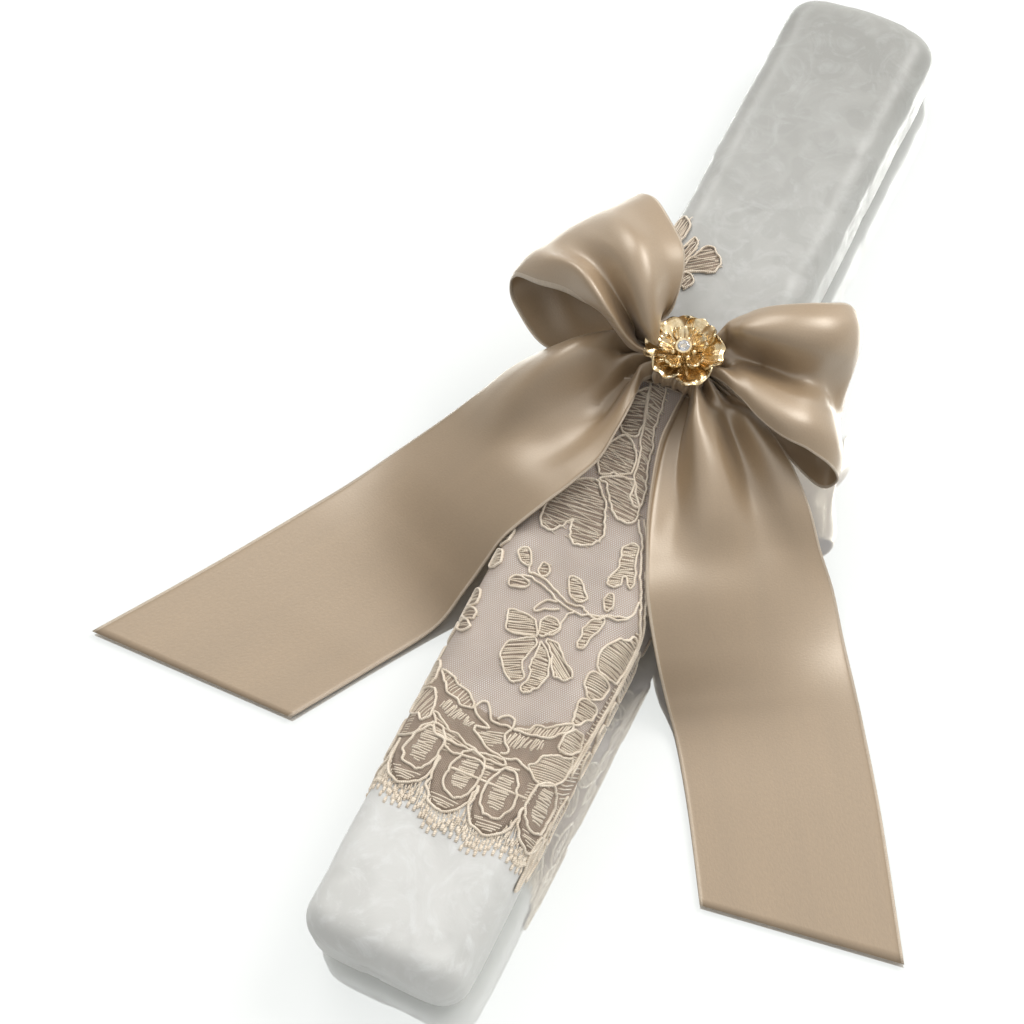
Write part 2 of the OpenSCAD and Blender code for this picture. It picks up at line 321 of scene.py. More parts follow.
def thread_material(name, light, dark, sheen):
    """Twisted thread: v runs along it in millimetres."""
    s = Shade(name, {"Roughness": 0.42, "Sheen Weight": sheen, "Sheen Roughness": 0.4})
    wave = {"Vector": s.uv(0.8, 1.2), "Scale": 1.0, "Distortion": 0.5}
    twist = s.node("TexWave", wave, bands_direction="DIAGONAL").outputs["Fac"]
    tone = s.mix(s.ramp(s.noise(s.coords, 220.0), (0.3, 0.0), (0.7, 1.0)), dark, light)
    # Painted shade: the thread's colour darkens in the grooves of its twist
    s.link("Base Color", s.mix(s.ramp(twist, (0.0, 0.35), (0.5, 0.0)), tone, scaled(dark, 0.6)))
    s.link("Normal", s.bump(twist, 0.1, 0.7))
    return s.material


def tulle_material():
    """Net of fine threads in three directions; u and v are millimetres round and along the candle."""
    s = Shade("rose_tulle", {"Roughness": 0.55, "Sheen Weight": 0.3})
    row_gap = 0.62 * 0.866
    half_thread = 0.16
    cover = None
    for angle in (30, 90, 150):
        turned = s.node("Mapping", {"Vector": s.uv(1, 1), "Rotation": (0, 0, math.radians(angle))}).outputs[0]
        cell = s.maths("FRACT", s.maths("DIVIDE", s.part(turned, 0), row_gap))
        line = s.maths("LESS_THAN", s.maths("ABSOLUTE", s.maths("SUBTRACT", cell, 0.5)), half_thread)
        cover = line if cover is None else s.maths("MAXIMUM", cover, line)
    blotch = s.noise(s.coords, 90.0, 2.0)
    s.link("Base Color", s.ramp(blotch, (0.3, (0.43, 0.33, 0.265)), (0.7, (0.52, 0.405, 0.33))))
    s.link("Alpha", s.maths("MULTIPLY", cover, 0.8))
    return s.material


def gilt_material():
    s = Shade("polished_gilt", {"Metallic": 1.0})
    wear = s.noise(s.coords, 700.0, 4.0)
    s.link("Base Color", s.ramp(wear, (0.35, (0.66, 0.49, 0.27)), (0.65, (0.86, 0.72, 0.47))))
    s.link("Roughness", s.ramp(s.noise(s.coords, 4200.0), (0.3, 0.15), (0.7, 0.28)))
    s.link("Normal", s.bump(wear, 0.12, 0.5))
    return s.material


def crystal_material():
    s = Shade("clear_crystal", {"Roughness": 0.02, "IOR": 1.6, "Transmission Weight": 0.85})
    s.link("Base Color", s.ramp(s.noise(s.coords, 500.0), (0.3, (0.93, 0.95, 0.97)), (0.7, (1.0, 1.0, 1.0))))
    return s.material


def wire_material():
    s = Shade("florist_wire", {"Metallic": 1.0, "Roughness": 0.35})
    wear = s.noise(s.coords, 900.0)
    s.link("Base Color", s.ramp(wear, (0.3, (0.50, 0.50, 0.49)), (0.7, (0.68, 0.68, 0.66))))
    return s.material


def wick_material():
    s = Shade("waxed_cotton", {"Roughness": 0.7})
    weave = s.noise(s.coords, 1800.0, 4.0)
    s.link("Base Color", s.ramp(weave, (0.3, (0.55, 0.52, 0.46)), (0.7, (0.80, 0.78, 0.72))))
    s.link("Normal", s.bump(weave, 0.2, 0.8))
    return s.material


SATIN_LOOK = satin_material()

# Closed bodies


def closed_tube(b, rings, along):
    """Closed body through rings of points, with flat ends."""
    rows, m = rings.shape[:2]
    uv = pack(RIBBON_W * np.arange(m)[None] / m, np.asarray(along)[:, None])
    caps = [np.arange(m)[None, ::-1], np.arange(m)[None] + (rows - 1) * m]
    b.add(rings, [grid_faces(rows, m, round_cols=True), *caps], uv)


def shell(b, grid, thick, across, along):
    """Closed sheet on a grid of points. across and along are its flat millimetres."""
    rows, cols = grid.shape[:2]
    normal = unit(np.cross(np.gradient(grid, axis=0), np.gradient(grid, axis=1)))
    half = normal * np.broadcast_to(thick, (rows, cols))[..., None] / 2
    uv = pack(across, along)
    n = rows * cols
    index = np.arange(n).reshape(rows, cols)
    edge = np.concatenate([index[0, :], index[1:, -1], index[-1, -2::-1], index[-2:0:-1, 0]])
    following = np.roll(edge, -1)
    rim = np.stack([following, following + n, edge + n, edge], -1)
    faces = [grid_faces(rows, cols, flip=True), grid_faces(rows, cols, start=n), rim]
    b.add(np.stack([grid + half, grid - half]), faces, np.concatenate([uv, uv]))


# The candle's surface


def section(u, height=0.0):
    """Place (x, z) at a height above the cross-section, u round from the middle of the front towards +X."""
    turned = (np.asarray(u, float) + HALF_ROUND) % (2 * HALF_ROUND) - HALF_ROUND
    v = np.abs(turned)
    front, corner, side, back = np.cumsum([FLAT_W, ARC, 2 * FLAT_T, ARC])
    lean = (np.clip(v - front, 0, ARC) + np.clip(v - side, 0, ARC)) / EDGE_R
    x = np.minimum(v, FLAT_W) - np.maximum(v - back, 0) + (EDGE_R + height) * np.sin(lean)
    z = FLAT_T - np.clip(v - corner, 0, 2 * FLAT_T) + (EDGE_R + height) * np.cos(lean)
    return np.where(turned < 0, -x, x), z


def wrap(u, y, height):
    """Point at a height above the wax, u round from the middle of the front and y along the candle."""
    x, z = section(u, height)
    return pack(x, y, z)


def soft_push(depth, sharp):
    """Zero outside, the depth itself inside, with a soft corner between them."""
    return np.log1p(np.exp(np.clip(depth * sharp, -40, 40))) / sharp


def clear_of_candle(p, gap):
    """Moves points that are inside the candle grown by gap out to its surface."""
    qx = np.abs(p[..., 0]) - FLAT_W
    qz = np.abs(p[..., 2]) - FLAT_T
    d = np.sqrt(np.maximum(qx, 0) ** 2 + np.maximum(qz, 0) ** 2) + np.minimum(np.maximum(qx, qz), 0)
    within = (p[..., 1] < CANDLE_L) & (p[..., 1] > 0)
    push = np.where(within, soft_push(EDGE_R + gap - d, 3.0), 0.0)
    out = unit(pack(np.where(qx > 0, qx, 0) * np.sign(p[..., 0]), 0,
                    np.where(qz > 0, qz, 1e-3) * np.sign(p[..., 2] + 1e-6)))
    return p + out * push[..., None]


def clear_of_table(p, gap):
    q = p.copy()
    q[..., 2] += soft_push(TABLE_Z + gap - p[..., 2], 4.0)
    return q


# Wax


def flakes(points, count=260):
    """Low angular facets, as frosted wax has: each place takes the plane of its nearest seed."""
    seeds = pack(random.uniform(-30, 30, count), random.uniform(-6, CANDLE_L + 6, count),
                 random.uniform(-18, 18, count))
    tilts = random.normal(0, 0.020, (count, 3))
    level = random.normal(0, 0.05, count)
    blend = 9.0
    height = np.zeros(len(points))
    for part in np.array_split(np.arange(len(points)), 12):
        d = np.linalg.norm(points[part][:, None] - seeds[None], axis=-1)
        first, second = np.argsort(d, axis=1)[:, :2].T
        rows = np.arange(len(part))
        planes = [level[n] + ((points[part] - seeds[n]) * tilts[n]).sum(-1) for n in (first, second)]
        share = ease(0.5 + (d[rows, second] - d[rows, first]) / blend)
        height[part] = planes[0] * share + planes[1] * (1 - share)
    return height


def build_wax():
    around, steps = 176, 230
    crown_reach = 30
    x, z = section(np.linspace(-HALF_ROUND, HALF_ROUND, around, endpoint=False))
    turn = np.linspace(0, math.pi / 2, 12)
    ends = EDGE_R * (1 - np.cos(turn))
    inner = np.linspace(EDGE_R, CANDLE_L - CROWN_H - EDGE_R, steps)[1:-1]
    y = np.concatenate([ends, inner, CANDLE_L - CROWN_H - ends[::-1]])
    corner = EDGE_R * (1 - np.sin(turn))
    inset = np.concatenate([corner, 0 * inner, corner[::-1]])
    rings = []
    for at, cut in zip(y, inset):
        crown = CROWN_H * (1 - (x / HALF_W) ** 2) * ease((at - CANDLE_L + crown_reach) / crown_reach)
        rings.append(pack(x * (1 - cut / HALF_W), at + crown, z * (1 - cut / HALF_T)))
    foot, head = rings[0], rings[-1]
    for k in (0.85, 0.65, 0.45, 0.25, 0.05):
        rise = CROWN_H * (1 - k * k) * (head[:, 0] / HALF_W) ** 2
        rings = [foot * [k, 1, k], *rings, head * [k, 1, k] + np.outer(rise, (0, 1, 0))]
    grid = np.array(rings)
    across = unit(np.roll(grid, -1, 1) - np.roll(grid, 1, 1))
    normal = unit(np.cross(unit(np.gradient(grid, axis=0)), across))
    depth = 0.12 + np.clip(flakes(grid.reshape(-1, 3)), -0.25, 0.12)
    b = Build()
    closed_tube(b, grid - normal * depth.reshape(*grid.shape[:2], 1), grid[:, 0, 1])
    b.make("wax_slab", [wax_material()], "wax", "wax_body")


# Ribbon


def ribbon_columns(count=70):
    """Places across a ribbon from 0 to 1, closer at the woven edges."""
    fine = np.array([0.0, 0.004, 0.009, 0.014, 0.019])
    return np.concatenate([fine, np.linspace(0.025, 0.975, count), 1 - fine[::-1]])


def selvedge(k, rise):
    """How much thicker a ribbon is at its two woven edges."""
    return rise * (bump_at(k, 0.009, 0.008) + bump_at(k, 0.991, 0.008))


def gathered(stations, folds, camber, deepest, rows=150):
    """A ribbon that keeps its width: where its edges are closer than RIBBON_W it stands in folds.
    stations are pairs of edge points along it, folds rows of heights across it, camber how far its middle
    bows out and deepest the limit of a fold's height."""
    smoothings, halvings, reach = 6, 22, 14
    k = ribbon_columns()
    edges = spline(stations, rows)
    base = edges[:, :1] * (1 - k)[None, :, None] + edges[:, 1:] * k[None, :, None]
    normal = unit(np.cross(np.gradient(base, axis=0), np.gradient(base, axis=1)))
    for _ in range(smoothings):
        normal[1:-1] = unit(normal[:-2] + normal[1:-1] * 2 + normal[2:])
    bow = spline(np.asarray(camber, float)[:, None], rows) * (4 * k * (1 - k))[None]
    base = base + normal * bow[..., None]
    shape = spline(spline(np.asarray(folds, float).T, len(k)).T, rows)
    lo, hi = np.zeros(rows), np.full(rows, deepest)
    for _ in range(halvings):
        mid = (lo + hi) / 2
        p = base + normal * (shape * mid[:, None])[..., None]
        short = np.linalg.norm(np.diff(p, axis=1), axis=-1).sum(1) < RIBBON_W
        lo, hi = np.where(short, mid, lo), np.where(short, hi, mid)
    window = np.hanning(2 * reach + 1)
    depth = np.convolve(np.pad(lo, reach, mode="edge"), window / window.sum(), mode="valid")
    return base + normal * (shape * depth[:, None])[..., None]


def ribbon_piece(node, grid):
    """One length of ribbon; its flat length is that of its middle line."""
    k = ribbon_columns()
    length = float(np.linalg.norm(np.diff(grid.mean(1), axis=0), axis=-1).sum())
    b = Build()
    shell(b, grid, 0.32 + selvedge(k, 0.3), RIBBON_W * k[None, :], np.linspace(0, length, len(grid))[:, None])
    obj = b.make(node + "_satin", [SATIN_LOOK], "satin", node)


# Each station is [edge nearer the base end or the axis, other edge], from the knot outwards
LEFT_TAIL = [
    [(-3, 177, 17.5), (-6, 183, 17.5)], [(-6.5, 172, 17), (-18, 183, 16)],
    [(-5.5, 163.5, 19), (-26.5, 178, 17)], [(-4.5, 154, 21), (-34, 172.5, 16)],
    [(-5, 144.5, 21.5), (-42.5, 165.5, 11.5)], [(-9, 136.5, 20.5), (-49.5, 157.5, 5)],
    [(-15, 128, 17.5), (-57.5, 149.3, -3)], [(-22, 118, 10), (-66.5, 138.5, -9.5)],
    [(-28, 106, -3), (-75, 125, -12.3)], [(-33, 94, -11), (-84, 110, -12.5)],
    [(-44, 76, -12.3), (-100, 84, -12.5)], [(-57, 55, -12.3), (-119.5, 54, -12.3)]]
RIGHT_TAIL = [
    [(5, 177, 17.5), (9, 183, 17.5)], [(5, 168, 16.5), (21, 179, 17.5)], [(5.5, 159, 15.5), (29, 175, 17)],
    [(8, 148, 15.2), (38, 170, 13)], [(11.5, 137, 15), (47, 163, 6)], [(16, 127, 14.5), (54, 156, -3)],
    [(21, 117, 12.5), (61, 149, -9)], [(28, 107, 3), (69, 138, -12.3)], [(34, 100, -7), (77, 127, -12.5)],
    [(40, 93, -12), (84, 117, -12.5)], [(51, 77, -12.3), (98, 96, -12.3)],
    [(65, 54.5, -12.3), (118.5, 62.5, -12.3)]]
LEFT_LOOP = [
    [(-6, 180, 21), (-5, 184, 22)], [(-12, 178, 24), (-8, 187, 26)], [(-16, 179, 27), (-6, 189, 29)],
    [(-22, 181, 32), (-5, 192, 33)], [(-28, 181, 34), (-6, 199, 37)], [(-34, 182, 33), (-9, 205, 38)],
    [(-42, 183, 29.5), (-16, 212, 36)], [(-50, 185, 25), (-24, 219, 32)],
    [(-52.5, 184.5, 19), (-30, 221, 27)], [(-49, 180.5, 16), (-29, 219, 23)],
    [(-36, 173, 15.5), (-24, 210, 19)], [(-20, 176, 16), (-14, 198, 18)], [(-8, 180, 17), (-7, 187, 18)]]
RIGHT_LOOP = [
    [(8, 181, 21), (7, 186, 21)], [(16, 179, 22), (10, 196, 24)], [(22, 176.5, 22.5), (14, 199, 28)],
    [(27, 174, 22), (18, 201, 31)], [(36.5, 171, 21), (25, 204, 33)], [(41.5, 171, 19), (32, 208, 32)],
    [(46.8, 171.5, 14.5), (36.5, 212, 28)], [(50.2, 172, 7), (38.8, 212, 21)],
    [(48.8, 171, 2.5), (39.8, 208, 15)], [(45, 170.5, 4), (41, 202, 12)], [(38, 172, 9), (35, 199, 12.5)],
    [(23, 178, 14.5), (21, 195, 15)], [(9, 182, 17), (8, 188, 17)]]


def build_tails():
    left_folds = [[0, 1, -0.3, 0.8, -0.8, 0.6, 0], [0.5, -0.1, -1, -0.5, 0.9, 0.8, 0],
                  [0.5, -0.1, -1, -0.6, 0.9, 0.9, 0], [0, -0.2, -0.8, -0.4, 0.5, 0.6, 0],
                  [0, 0, -0.3, -0.1, 0.3, 0.2, 0]]
    right_folds = [[0, -1, 1, -0.4, 0.9, -0.8, 0], [0.5, -1, 1, 0.5, -1, 0.2, 0],
                   [0.5, -0.7, 0.9, 0.4, -1, 0.2, 0.2], [0.2, -0.2, 0.7, 0.3, -0.7, 0.1, 0.1],
                   [0, 0.1, 0.3, 0.1, -0.2, 0, 0], [0, 0, 0, 0, 0, 0, 0]]
    camber = np.array([0, 1.5, 2.5, 3, 2.5, 1.5, 1, 0.5, 0, 0, 0, 0])
    for node, stations, folds, out, deepest in (("bow_tail_left", LEFT_TAIL, left_folds, -1, 9.0),
                                                ("bow_tail_right", RIGHT_TAIL, right_folds, 1, 6.0)):
        grid = gathered(stations, out * np.array(folds), out * camber, deepest)
        grid = clear_of_table(clear_of_candle(grid, NET_T + 1.0), 0.6)
        ribbon_piece(node, grid)


def build_loops():
    left_folds = [[0, 0.8, -0.6, 0.8, -0.4, 0.5, 0], [0, 0.9, -0.5, 0.8, 0.6, -0.3, 0],
                  [0, 1, -0.1, 0.8, 0.9, 0.2, 0], [0, 0.8, 0.4, 0.7, 0.9, 0.4, 0],
                  [0, 0.3, 0.5, 0.5, 0.3, 0.2, 0], [0, 0.6, 0.9, 0.7, 0.4, 0.2, 0],
                  [0, 0.8, 0, 0.8, 0, 0.8, 0]]
    right_folds = [[0, 0.8, -0.5, 0.8, -0.4, 0.6, 0], [0.6, 0.6, 0, -1, 0.6, 0.6, 0],
                   [0.7, 0.7, -0.1, -1.1, 0.4, 0.7, 0], [0.4, 0.4, -0.2, -0.9, 0.2, 0.5, 0],
                   [0, 0.1, 0.15, 0.1, 0.1, 0.05, 0], [0, 0.4, 0.6, 0.5, 0.3, 0.1, 0],
                   [0, 0.8, 0, 0.8, 0, 0.8, 0]]
    camber = np.array([0, 1, 2, 3.5, 4, 4, 2.5, 0.5, 0, 1, 1, 0.5, 0])
    for node, stations, folds, out in (("bow_loop_left", LEFT_LOOP, left_folds, -1),
                                       ("bow_loop_right", RIGHT_LOOP, right_folds, 1)):
        grid = gathered(stations, out * np.array(folds), out * camber, 7.0, rows=190)
        grid = clear_of_table(clear_of_candle(grid, NET_T + 1.6), 0.6)
        ribbon_piece(node, grid)


# Lace: cords and satin stitch, drawn flat in (u, y) and wrapped on the candle, twice round it

THREAD, GROUND = 0, 1
# Heights above the wax: net, ground stitches, cords, loose stitches, dense stitches, stitches on top
NET_LIFT, GROUND_LIFT, CORD_LIFT, LOOSE_LIFT, STITCH_LIFT, TOP_LIFT = 0.34, 0.36, 0.38, 0.40, 0.42, 0.50
REPEATS = (0.0, HALF_ROUND)
SCALLOPS = 5
PITCH = HALF_ROUND / SCALLOPS
CORD_RING = np.array([(-0.5, 0), (-0.36, 0.65), (0, 1), (0.36, 0.65), (0.5, 0), (0, -0.2)])
STITCH_RING = np.array([(-0.5, 0), (0, 1), (0.5, 0), (0, -0.3)])


def hem_y(u):
    """Lowest point of the scallops at u, which rises and falls once in a repeat."""
    return NET_LO[1] + 1.0 + 2.2 * (1 - np.cos((u - 8) * 2 * math.pi / HALF_ROUND))


def scallop_edge(u):
    """The wavy hem of the net."""
    off = (u + 2.2 + PITCH / 2) % PITCH - PITCH / 2
    return hem_y(u) + 9.0 * np.abs(2 * off / PITCH) ** 3.2


class Stitching(Build):
    """One mesh of cords and stitches."""

    def strands(self, paths, width, height, lift, kind=THREAD, closed=False, ring=CORD_RING):
        """Threads along paths of (u, y) with equal numbers of points."""
        paths = np.asarray(paths, float)
        n, rows = paths.shape[:2]
        m = len(ring)
        if closed:
            step = np.roll(paths, -1, 1) - np.roll(paths, 1, 1)
        else:
            step = np.gradient(paths, axis=1)
        side = unit(step)[..., ::-1] * [-1, 1]
        along = np.cumsum(np.linalg.norm(np.diff(paths, axis=1, prepend=paths[:, :1]), axis=-1), axis=1)
        at = paths[:, :, None, :] + side[:, :, None, :] * (ring[:, 0] * width)[None, None, :, None]
        rise = np.broadcast_to(height, (n, rows))[..., None] * ring[:, 1]
        uv = pack(np.arange(m)[None, None, :] / m, along[..., None])
        i, j = np.meshgrid(np.arange(rows if closed else rows - 1), np.arange(m), indexing="ij")
        i2, j2 = (i + 1) % rows, (j + 1) % m
        quads = np.stack([i * m + j, i2 * m + j, i2 * m + j2, i * m + j2], -1).reshape(-1, 4)
        starts = (np.arange(n) * rows * m)[:, None]
        faces = [(quads[None] + starts[:, None]).reshape(-1, 4)]
        if not closed:
            cap = np.arange(m)[None]
            faces += [cap + starts, cap[:, ::-1] + (rows - 1) * m + starts]
        self.add(wrap(at[..., 0], at[..., 1], lift + rise), faces, uv, kind)

    def cord(self, points, width=0.8, height=0.72, closed=False, shift=0.0):
        """A cord through points, a little uneven as a hand-guided one is."""
        p = np.asarray(points, float)
        length = np.linalg.norm(np.diff(p, axis=0), axis=1).sum()
        path = spline(p, max(8, int(length / 0.45)), closed)
        fine = random.normal(0, 1, path.shape)
        slow = [np.convolve(np.pad(w, 3, mode="wrap"), np.hanning(7), mode="valid") for w in fine.T]
        path = path + fine * 0.035 + np.stack(slow, -1) * (0.11 if closed else 0.07) + [shift, 0]
        self.strands(path[None], width, height, CORD_LIFT, closed=closed)

    def stitches(self, outline, angle, pitch, width, height, slack, lift=STITCH_LIFT, kind=THREAD):
        """Satin stitch: threads side by side across a closed outline, at an angle in degrees."""
        c, s = math.cos(math.radians(angle)), math.sin(math.radians(angle))
        turn = np.array([[c, -s], [s, c]])
        p = np.asarray(outline, float) @ turn
        q = np.roll(p, -1, 0)
        found = []
        shortest = 0.6
        for level in np.arange(p[:, 1].min() + pitch / 2, p[:, 1].max(), pitch):
            level = level + random.uniform(-0.15, 0.15) * pitch
            cut = (p[:, 1] <= level) != (q[:, 1] <= level)
            x = np.sort(p[cut, 0] + (level - p[cut, 1]) / (q[cut, 1] - p[cut, 1]) * (q[cut, 0] - p[cut, 0]))
            found += [((a, level), (b, level)) for a, b in zip(x[0::2], x[1::2]) if b - a > shortest]
        if not found:
            return
        n = len(found)
        ends = np.array(found) + random.uniform(-slack, slack, (n, 2, 2)) * [1, 0.5]
        t = np.linspace(0, 1, 9)[None]
        paths = ends[:, :1] * (1 - t)[..., None] + ends[:, 1:] * t[..., None]
        sway = random.uniform(-0.16, 0.16, (n, 1)) * np.sin(np.pi * t * random.uniform(0.7, 2.2, (n, 1)))
        paths = (paths + pack(0, sway)) @ turn.T
        arch = np.sin(np.pi * np.clip(t, 0.04, 0.96))
        self.strands(paths, width, height * (0.4 + 0.6 * arch), lift, kind, ring=STITCH_RING)

    def motif(self, outline, angle, style="ribbed", shift=0.0, cord=0.75):
        """A leaf, petal or lobe: dark ground stitches, lighter ones over them and a cord round it."""
        p = np.asarray(outline, float) + [shift, 0]
        edge = spline(p, len(p) * 6, closed=True)
        self.stitches(edge, angle, 0.44, 0.46, 0.16, 0.05, GROUND_LIFT, GROUND)
        if style == "ribbed":
            self.stitches(edge, angle + 4, 0.6, 0.5, 0.40, 0.5)
        # The shaded style lays sparse light stitches over the dark ground, so the motif is darker: partly the
        # lace's own look, partly painted shade where the lace lies in the bow's shadow
        elif style == "shaded":
            self.stitches(edge, angle + 4, 0.95, 0.36, 0.36, 1.1)
            self.stitches(edge, angle - 9, 1.9, 0.34, 0.30, 2.0, TOP_LIFT)
        elif style == "open":
            self.stitches(edge, angle + 4, 1.0, 0.45, 0.34, 0.6)
        self.cord(p, width=cord, closed=True)


SPRIG_CORDS = [
    [(19.2, 116), (19.3, 113), (18.6, 111), (16.4, 109.2), (14, 108.6), (12, 107.4), (9.5, 107), (8, 107),
     (6.5, 107.9), (4, 107.5), (1, 108), (-2, 109.3), (-5, 110.6), (-8.3, 111.5), (-10.4, 111),
     (-11.3, 112.6)],
    [(18.8, 110.6), (16.5, 108.6), (13.5, 108), (11.4, 106.3), (9, 106.8), (7, 105.6), (4, 106),
     (0, 106.8), (-3, 108.2), (-6, 109.2), (-9, 109.8), (-12, 109.5)],
    [(0.2, 106.6), (-2.5, 105.8), (-4, 104.5), (-4.8, 102.6), (-4.2, 101.7), (-2.5, 103.2), (0, 104),
     (1.4, 105)],
    [(1.2, 97), (3, 97.6), (3.9, 99.5), (3.7, 102), (3.9, 104.5), (5.5, 105.6)]]
SPRIG_MOTIFS = [
    ([(-11.5, 113), (-12.6, 116), (-14.2, 117.5), (-15.7, 116.8), (-15.5, 114.8), (-13.8, 113)], 20),
    ([(-7.5, 111.4), (-8.9, 113), (-8.4, 115), (-6.8, 115.3), (-5.7, 113.8), (-6.2, 112)], 10, "open"),
    ([(0, 114), (1.6, 115), (3.4, 114.4), (4.8, 112.4), (6.7, 110.2), (5.6, 108.9), (3.4, 108.9),
      (1.2, 110.4)], 8),
    ([(10.8, 112), (11.3, 114.1), (12.5, 114.3), (13.8, 112), (13.8, 109.9), (12.3, 109.8)], 5),
    ([(-9, 108), (-11, 106.2), (-13.3, 105.6), (-14.4, 107), (-13.4, 108.8), (-11, 109.4)], 10, "open"),
    ([(13.6, 107), (13.7, 103.5), (12.2, 100.2), (11.7, 97.5), (10.6, 97), (9.7, 98.4), (10.2, 100.6),
      (9.7, 103), (10.8, 105.6), (12.2, 106.5)], 12),
    ([(-0.4, 96), (-1.4, 98.4), (-1, 101.4), (1.2, 102), (3.4, 101.2), (3.4, 99), (1.4, 96.6)], 5),
    ([(-0.8, 95.4), (-2.2, 98), (-4, 99.8), (-8, 99.9), (-10.6, 98.7), (-9.8, 96.2), (-7.8, 94),
      (-4, 94.6)], 14),
    ([(-1.2, 94.7), (-4, 93.2), (-6.8, 91.2), (-7.1, 87), (-4.6, 83.4), (-1.2, 81.3), (0.8, 82), (1.2, 84),
      (-0.5, 87), (-0.6, 90.5), (0.4, 93)], 24),
    ([(0.8, 94.4), (1.4, 91), (1.2, 88), (2.6, 85.4), (2.3, 81.4), (3.6, 80.1), (5.6, 82.3), (6.7, 86.4),
      (5.2, 90.8), (2.8, 93.6)], 2),
    ([(2, 95.4), (5, 95.9), (8, 93.4), (10.5, 91.4), (12.7, 89.4), (11.6, 87.6), (8.6, 87.6), (6.4, 90.4),
      (4, 94)], -38)]
HEM_CORDS = [
    [(-6.5, 71), (-5, 73.3), (-3.3, 73), (-1.8, 71), (-0.7, 69.4), (1.5, 69.3), (3.5, 69.8), (5, 69.6)],
    [(0.3, 70.3), (1.8, 72), (3.5, 72.7), (4.8, 71.8), (5, 69.5), (4.2, 67.5), (5, 65.5), (6.6, 64.3),
     (6.6, 62.8), (5, 62.6)],
    [(-6.5, 71), (-4.8, 69.2), (-2.8, 68.5), (-0.5, 67.4), (-1.8, 66.8), (-4, 66.4), (-3.3, 65.3),
     (-0.8, 63.6), (2, 62.3), (5, 62), (8, 61.8), (10, 62.8), (12, 62), (14, 61.3)],
    [(-24, 57.2), (-20, 57), (-17, 58.8), (-14.6, 61.4), (-12.4, 60.4), (-10, 60), (-8, 58), (-5, 57.4),
     (-2, 58.2), (1, 58.4), (4, 57.4), (7, 58.2), (9, 59.8), (12, 60.4)]]
HEM_MOTIFS = [
    ([(-15, 65.5), (-12, 64), (-8, 62.3), (-4, 61.3), (0, 60.4), (5, 60.9), (8, 60.2), (3, 59.6), (-3, 60),
      (-8, 59.9), (-12, 60.3), (-14.3, 62.8)], -12, "open"),
    ([(-19, 77.2), (-15.5, 76.4), (-13, 75), (-10, 74.2), (-8, 72.5), (-6.5, 70.7), (-9, 70.4),
      (-12, 71.2), (-14.7, 71.8), (-16.3, 73.8), (-18, 75)], 60, "open"),
    ([(5.5, 69.7), (9, 71.2), (10.5, 73.2), (13, 73.8), (16, 75.8), (18.3, 77.8), (18.6, 76.5), (17.3, 74),
      (15, 71.8), (11.5, 70.6), (8, 69.6)], 75),
    ([(13.8, 62.6), (15, 64), (15.6, 66.2), (18, 67.8), (20.5, 69), (22.8, 69.6), (23.8, 68), (23.6, 65),
      (22.3, 62.5), (20.5, 60.2), (18, 59.5), (15.8, 60.3)], 8),
    ([(-23.2, 63.7), (-19.5, 63.6), (-17.6, 62.2), (-16.3, 63.3), (-16.2, 66.5), (-17.3, 69.8),
      (-18.8, 71.4), (-22, 71.2), (-24, 67.5)], 60, "open")]
# Loose tufts of light thread between the leaves: outline and angle
HEM_TUFTS = [
    ([(-15.5, 67.6), (-13.5, 69.9), (-9, 68.6), (-5, 67.2), (-4.4, 65.6), (-8, 66), (-12, 65.8)], 68),
    ([(4.8, 65.6), (5.4, 68.6), (9, 69), (14, 70.2), (15.2, 69), (13, 66.8), (9, 65.6), (6.5, 64.6)], 78),
    ([(-2.8, 64.8), (-0.4, 67), (3.8, 68), (4.4, 65), (2, 63), (0, 63.4)], 12)]
SIDE_MOTIFS = [
    ([(19.3, 69.4), (17.9, 71.5), (18, 74.3), (19.3, 76.7), (21.5, 77), (23, 76), (23.8, 73), (22, 71)], 0),
    ([(21, 80.2), (19.3, 77.8), (17.8, 79), (17.3, 82), (17.6, 84.8), (19.5, 85.4), (22.4, 84.8),
      (23, 82)], 0),
    ([(19.5, 86.2), (17.3, 87.5), (16.1, 90), (16.6, 92.6), (18.5, 93), (21.5, 92.6), (23, 90.5),
      (22.5, 88.3)], 2),
    ([(21.5, 93.8), (18, 94), (16.6, 96.5), (16.4, 99.5), (17.8, 102), (19.2, 104.3), (21.2, 105.3),
      (22.5, 107.3), (24.5, 107), (26, 104), (26, 98), (24.5, 94.5)], -4)]
LEFT_MOTIFS = [
    ([(-23.5, 72.5), (-21, 72.8), (-20, 74.5), (-20.3, 77), (-22, 79.5), (-25, 80), (-26, 76)], 10),
    ([(-25, 102.3), (-21.5, 102), (-19.8, 100), (-20, 98), (-22, 97.3), (-25, 97.8)], 0, "open"),
    ([(-23, 96), (-19.8, 96.5), (-17.8, 95), (-18.6, 93.2), (-22, 93.4), (-24, 94.5)], 0, "open"),
    ([(-22.5, 92), (-19.5, 92.4), (-18.2, 90.9), (-19.5, 89.4), (-22.5, 90)], 0, "open"),
    ([(-24, 115.2), (-20.8, 114.6), (-19.3, 112.2), (-20.5, 109.8), (-23.5, 110.3)], 0),
    ([(-25, 124), (-20.5, 121), (-20.2, 118.3), (-24, 117)], 0)]
